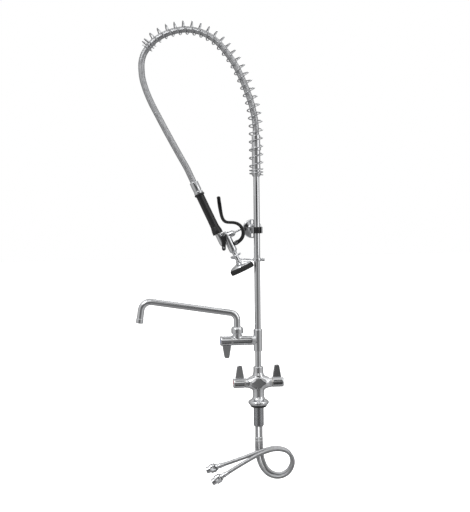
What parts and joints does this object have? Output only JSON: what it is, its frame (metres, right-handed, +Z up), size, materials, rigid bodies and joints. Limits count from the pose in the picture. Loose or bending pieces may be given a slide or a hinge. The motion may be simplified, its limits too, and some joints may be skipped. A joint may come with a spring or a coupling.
{
  "type": "pre-rinse faucet",
  "caption": "Deck mounted pre-rinse faucet: lever handle base, add-on faucet with swing spout, tall riser, overhead spring, hose and squeeze spray valve on a finger hook.",
  "frame": {"origin": "centre of the deck gasket's underside, on the deck surface", "axes": "+Z up along the riser, +X towards the cold handle, -Y towards the user, +Y towards the wall"},
  "size_m": [0.4099, 0.1252, 1.2078],
  "materials": {
    "chrome": "polished chrome plate on brass",
    "brass": "machined",
    "stainless_steel": "bright stainless",
    "braided_hose": "stainless steel braid over a rubber hose",
    "black_plastic": "satin",
    "rubber": "matte",
    "hot_marker": "gloss",
    "cold_marker": "gloss"
  },
  "bodies": {
    "root": {"deck_gasket": "rubber", "base_body": "chrome", "mounting_shank": "chrome", "hot_inlet_tube": "chrome", "cold_inlet_tube": "chrome", "hot_hose_collar": "chrome", "cold_hose_collar": "chrome", "hot_supply_hose": "braided_hose", "cold_supply_hose": "braided_hose", "hot_hose_ferrule": "chrome", "cold_hose_ferrule": "chrome", "hot_cartridge": "brass", "cold_cartridge": "brass", "addon_cartridge": "brass", "lower_nipple": "chrome", "addon_tee": "chrome", "swivel_nut": "chrome", "spout_seal": "rubber", "riser": "chrome", "spring_seat": "chrome", "hose_adapter": "chrome", "overhead_spring": "stainless_steel", "spray_hose": "braided_hose", "grip_ferrule": "chrome", "grip": "black_plastic", "valve_body": "chrome", "bonnet": "chrome", "lever_pin": "stainless_steel", "clip_screw": "stainless_steel", "spray_dome": "chrome", "spray_face": "stainless_steel", "bumper": "rubber", "bracket_clamp": "chrome", "bracket_bush": "black_plastic", "bracket_rod": "chrome", "wall_flange": "chrome", "finger_hook": "chrome", "hook_clamp": "chrome", "hook_screw": "chrome"},
    "hot_handle": {"hot_stem": "brass", "hot_handle": "chrome", "hot_handle_screw": "stainless_steel", "hot_index_cap": "hot_marker"},
    "cold_handle": {"cold_stem": "brass", "cold_handle": "chrome", "cold_handle_screw": "stainless_steel", "cold_index_cap": "cold_marker"},
    "addon_handle": {"addon_stem": "brass", "addon_handle": "chrome", "addon_handle_screw": "stainless_steel", "addon_index_cap": "cold_marker"},
    "spout": {"spout": "chrome", "spout_tip": "chrome"},
    "lever": {"squeeze_lever": "black_plastic"},
    "plunger": {"plunger": "stainless_steel", "seat_washer": "rubber", "return_spring": "stainless_steel"},
    "clip": {"hold_open_clip": "black_plastic"},
    "hot_nut": {"hot_coupling_nut": "chrome"},
    "cold_nut": {"cold_coupling_nut": "chrome"}
  },
  "joints": [
    {"name": "hot_handle_turn", "type": "hinge", "parent": "root", "child": "hot_handle", "pos_m": [-0.036, 0, 0.0647], "axis": [1, 0, 0], "range_deg": [0, 90]},
    {"name": "cold_handle_turn", "type": "hinge", "parent": "root", "child": "cold_handle", "pos_m": [0.036, 0, 0.0647], "axis": [1, 0, 0], "range_deg": [0, 90]},
    {"name": "addon_handle_turn", "type": "hinge", "parent": "root", "child": "addon_handle", "pos_m": [-0.069, 0, 0.1773], "axis": [-1, 0, 0], "range_deg": [0, 90]},
    {"name": "spout_swing", "type": "hinge", "parent": "root", "child": "spout", "pos_m": [-0.0545, 0, 0.2032], "axis": [0, 0, 1], "range_deg": [-155, 155]},
    {"name": "lever_squeeze", "type": "hinge", "parent": "root", "child": "lever", "pos_m": [-0.05199, 0.01152, 0.4328], "axis": [-0.2164, -0.9763, 0], "range_deg": [0, 10], "stiffness_Nm_per_rad": 5, "springref_deg": -5.73},
    {"name": "plunger_slide", "type": "slide", "parent": "root", "child": "plunger", "axis": [-0.8848, 0.1962, -0.4226], "range_m": [0, 0.005]},
    {"name": "clip_swing", "type": "hinge", "parent": "root", "child": "clip", "pos_m": [-0.08339, 0.01849, 0.45399], "axis": [-0.2164, -0.9763, 0], "range_deg": [-20, 150]},
    {"name": "hot_nut_spin", "type": "hinge", "parent": "root", "child": "hot_nut", "pos_m": [-0.08513, -0.02353, -0.16593], "axis": [-0.8584, 0.02, -0.5126], "continuous": true},
    {"name": "cold_nut_spin", "type": "hinge", "parent": "root", "child": "cold_nut", "pos_m": [-0.09327, -0.00647, -0.14807], "axis": [-0.9455, 0.088, -0.3135], "continuous": true}
  ],
  "couplings": [
    {"joint": "plunger_slide", "follows": "lever_squeeze", "m_per_rad": 0.0275}
  ]
}
